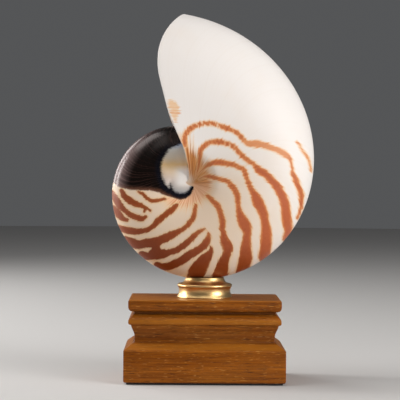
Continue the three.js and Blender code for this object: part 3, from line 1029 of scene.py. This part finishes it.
def paint_wood(material):
    net, surface = shader_net(material)
    place = object_place(net)
    y, z = net.split(place)[1:]

    def grain(along, across, detail):
        return noise(net, stretched(net, place, along, across, across), 1.0, detail)

    warp = grain(6.0, 40.0, 3.0)
    ring_y = y - 0.09 + (warp - 0.5) * 0.010
    ring_z = z + 0.05 + (warp - 0.5) * 0.012
    rings = line_noise(net, (ring_y * ring_y + ring_z * ring_z).math("SQRT"), 520.0, 2.0)
    fibre = grain(42.0, 1150.0, 4.0)
    pore = grain(130.0, 2600.0, 2.0)
    patch = grain(14.0, 55.0, 2.0)
    colour = net.mix(rings.step(0.3, 0.72), WOOD_MIDDLE, WOOD_LIGHT)
    colour = net.mix(fibre.step(0.36, 0.74) * 0.85, colour, WOOD_DARK)
    colour = net.mix(patch.step(0.45, 0.8) * 0.5, colour, WOOD_GOLD)
    # Painted glints: short bright flecks along the grain.
    glint_fleck = grain(240.0, 1500.0, 1.0)
    colour = net.mix(glint_fleck.step(0.62, 0.72) * 0.42, colour, WOOD_GLINT)
    pores = pore.step(0.58, 0.67)
    colour = net.mix(pores * 0.75, colour, WOOD_PORE)
    # Painted light: the arrises, bevels and nose that face up or out are lighter, as if lit from above.
    lit_bevels_and_arrises = band(z, 20.2, 21.2, 23.2, 24.4) + band(z, 35.0, 35.8, 38.0, 39.4)
    lit_bevels_and_arrises = lit_bevels_and_arrises + band(z, 49.0, 49.7, 50.2, 51.0)
    colour = net.mix(lit_bevels_and_arrises * 0.5, colour, WOOD_GOLD)
    # Painted shade: the recessed neck and the groove between the two boards are darker.
    groove_shade = band(z, 23.6, 24.6, 29.0, 35.0) * 0.45 + band(z, 40.4, 41.6, 42.8, 43.6)
    colour = net.mix(groove_shade * 0.6, colour, WOOD_PORE)
    gloss = 0.34 + 0.16 * (fibre - 0.5) + 0.16 * pores
    relief = bump(net, fibre * 0.35 - pores, 0.1 * MM, 0.6)
    sockets = {"Base Color": colour, "Roughness": gloss, "Normal": relief, "Specular IOR Level": 0.15}
    net.fill(surface, sockets)


paint_wood(wood_finish)

# %% [markdown]
# ## Felt pad and fixing screw
#
# A thin felt pad keeps the base from scratching the table. A countersunk screw comes up through both
# boards into the collar and can't be seen once the felt is on. Both are inferred from the way such stands
# are made. The felt is a low board with soft edges, and the screw is one more turned profile with a slot
# cut across it.

# %% Make the felt and the screw
felt_finish = bpy.data.materials.new("felt_dark")
FELT_PROFILE = [(2.0, 0.0), (1.75, 0.08), (1.62, 0.3), (1.6, 0.6), (1.65, 0.85), (1.8, 1.0)]
felt = moulded("felt_sheet", FELT_PROFILE, felt_finish)
shade(felt, 50)
settle(felt, "felt_pad")

steel_finish = bpy.data.materials.new("steel_plain")
SCREW_PROFILE = [
    (0, 5.8), (4.8, 5.8), (5.0, 6.0), (5.0, 6.4), (2.6, 8.9), (2.5, 9.1), (2.5, 56.0),
    (1.5, 57.0), (0, 57.0),
]
screw = turned("fixing_screw_turned", SCREW_PROFILE, steel_finish, 64)
SLOT_SIZE = Vector((11.0, 1.2, 2.8))
SLOT_MIDDLE = Vector((0.0, 0.0, 5.8))
slot_work = bmesh.new()
bmesh.ops.create_cube(slot_work, size=1.0)
for vertex in slot_work.verts:
    vertex.co = (vertex.co * SLOT_SIZE + SLOT_MIDDLE) * MM
cut_away(screw, [new_piece("slot_tool", slot_work, steel_finish)])
shade(screw, 30)
settle(screw, "fixing_screw")


def paint_felt(material):
    net, surface = shader_net(material)
    place = object_place(net)
    fuzz = noise(net, place, 2600.0, 4.0)
    colour = net.mix(fuzz.step(0.35, 0.7), (0.012, 0.011, 0.010), (0.035, 0.031, 0.027))
    relief = bump(net, fuzz, 0.3 * MM, 0.6)
    net.fill(surface, {"Base Color": colour, "Normal": relief, "Roughness": 0.95, "Sheen Weight": 0.2})


def paint_steel(material):
    net, surface = shader_net(material)
    rings = line_noise(net, net.split(object_place(net))[2], 4000.0)
    colour = net.mix(rings, (0.50, 0.50, 0.49), (0.64, 0.64, 0.62))
    net.fill(surface, {"Base Color": colour, "Roughness": 0.28 + 0.14 * rings, "Metallic": 1.0})


paint_felt(felt_finish)
paint_steel(steel_finish)
print("felt and screw ready")

# %% [markdown]
# ## Studio
#
# The floor is plain and pale, and the light is soft. The key is a large lamp low on the right, with a
# weaker one above it. A tall narrow lamp on the left and one behind it draw the bright rim on the dark
# film, which also has a painted sheen there, and the last two come from above. The Standard view shows
# colours as they are, without a film-like curve, so whites stay white. The camera stands where the
# photograph was taken, a little under a metre away, with a long lens, level with the middle of the shell.

# %% Floor, lamps and camera
bpy.context.scene.view_settings.view_transform = "Standard"
floor_finish = bpy.data.materials.new("floor_pale")
floor_net, floor_surface = shader_net(floor_finish)
floor_net.fill(floor_surface, {"Base Color": (0.60, 0.58, 0.56, 1.0)})
floor_net.fill(floor_surface, {"Roughness": 0.9, "Specular IOR Level": 0.1})
floor = turned("floor", [(0, -0.2), (3000, -0.2)], floor_finish)
floor.data.flip_normals()
shade(floor, 80)

# Each lamp has a name, a place, a breadth and height in metres, and a power in watts.
LAMPS = [
    ("key", (0.95, -0.65, 0.3), (0.6, 0.6), 10.2),
    ("key_high", (0.75, -0.7, 0.95), (0.6, 0.6), 2.6),
    ("left", (-1.03, 0.25, 0.33), (0.25, 0.8), 8.5),
    ("back", (-0.75, 0.75, 0.5), (0.4, 0.8), 4.5),
    ("top", (-0.6, -0.1, 1.1), (0.6, 0.6), 5.5),
    ("front", (0.0, -0.75, 1.1), (0.8, 0.6), 2.0),
]
MIDDLE = Vector((0.0, 0.0, 0.11))
for name, place, size, power in LAMPS:
    light = bpy.data.lights.new(name, "AREA")
    light.shape = "RECTANGLE"
    light.size, light.size_y = size
    light.energy = power
    lamp = new_object(name, light)
    lamp.location = place
    lamp.rotation_euler = (MIDDLE - Vector(place)).to_track_quat("-Z", "Y").to_euler()

world = bpy.data.worlds.new("studio")
bpy.context.scene.world = world
world.use_nodes = True
backdrop = world.node_tree.nodes["Background"]
backdrop.inputs["Color"].default_value = (0.90, 0.92, 0.95, 1.0)
backdrop.inputs["Strength"].default_value = 0.10

lens = bpy.data.cameras.new("camera")
lens.sensor_width = 36.0
lens.lens = lens.sensor_width * FOCAL / (2 * PICTURE_MIDDLE)
lens.clip_start = 0.05
camera = new_object("camera", lens)
camera.location = CAMERA
look_down = math.atan((PICTURE_MIDDLE - LEVEL_POINT[1]) / FOCAL)
look_right = math.atan((PICTURE_MIDDLE - LEVEL_POINT[0]) / FOCAL)
level = Euler((QUARTER - look_down, 0.0, -look_right)).to_matrix()
camera.rotation_euler = (level @ Matrix.Rotation(ROLL, 3, "Z")).to_euler()
bpy.context.scene.camera = camera
print("camera:", [round(value, 3) for value in camera.location], f"lens {lens.lens:.0f} mm")
